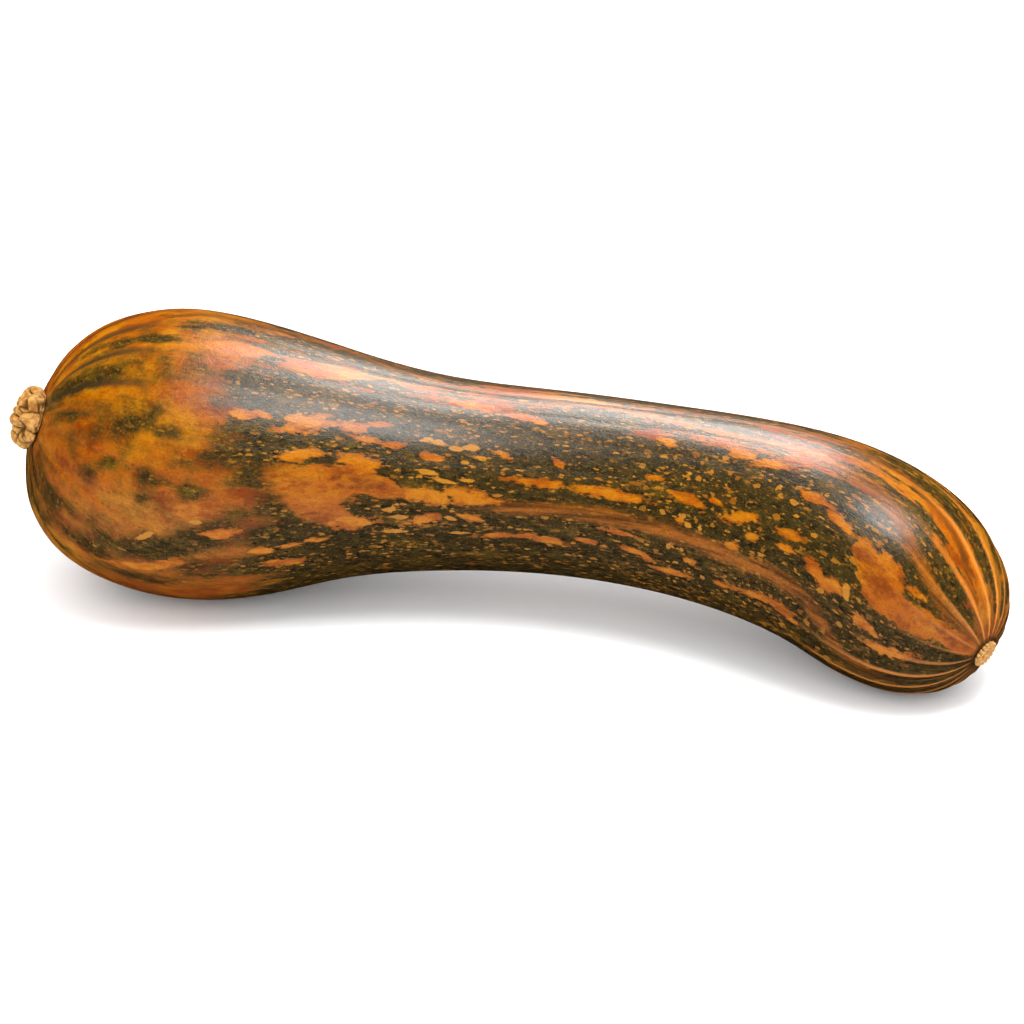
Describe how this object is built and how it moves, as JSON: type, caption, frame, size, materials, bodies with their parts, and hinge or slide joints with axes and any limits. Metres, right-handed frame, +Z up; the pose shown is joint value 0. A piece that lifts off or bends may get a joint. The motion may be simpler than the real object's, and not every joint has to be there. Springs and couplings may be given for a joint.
{
  "type": "long neck winter squash",
  "caption": "Long curved winter squash with a round bulb, mottled olive and orange skin, a corky blossom scar and a scalloped stalk scar, lying down.",
  "frame": {"origin": "on the ground under the middle of the whole squash's box", "axes": "+X from the bulb towards the neck's end, +Y away from the side that the neck bends to, +Z up from the ground it lies on"},
  "size_m": [0.5781, 0.1711, 0.1658],
  "materials": {
    "skin": "satin",
    "cork": "matte",
    "dry_stalk": "matte"
  },
  "bodies": {
    "root": {"fruit": "skin", "blossom_scar": "cork", "stalk_scar": "dry_stalk"}
  },
  "joints": []
}
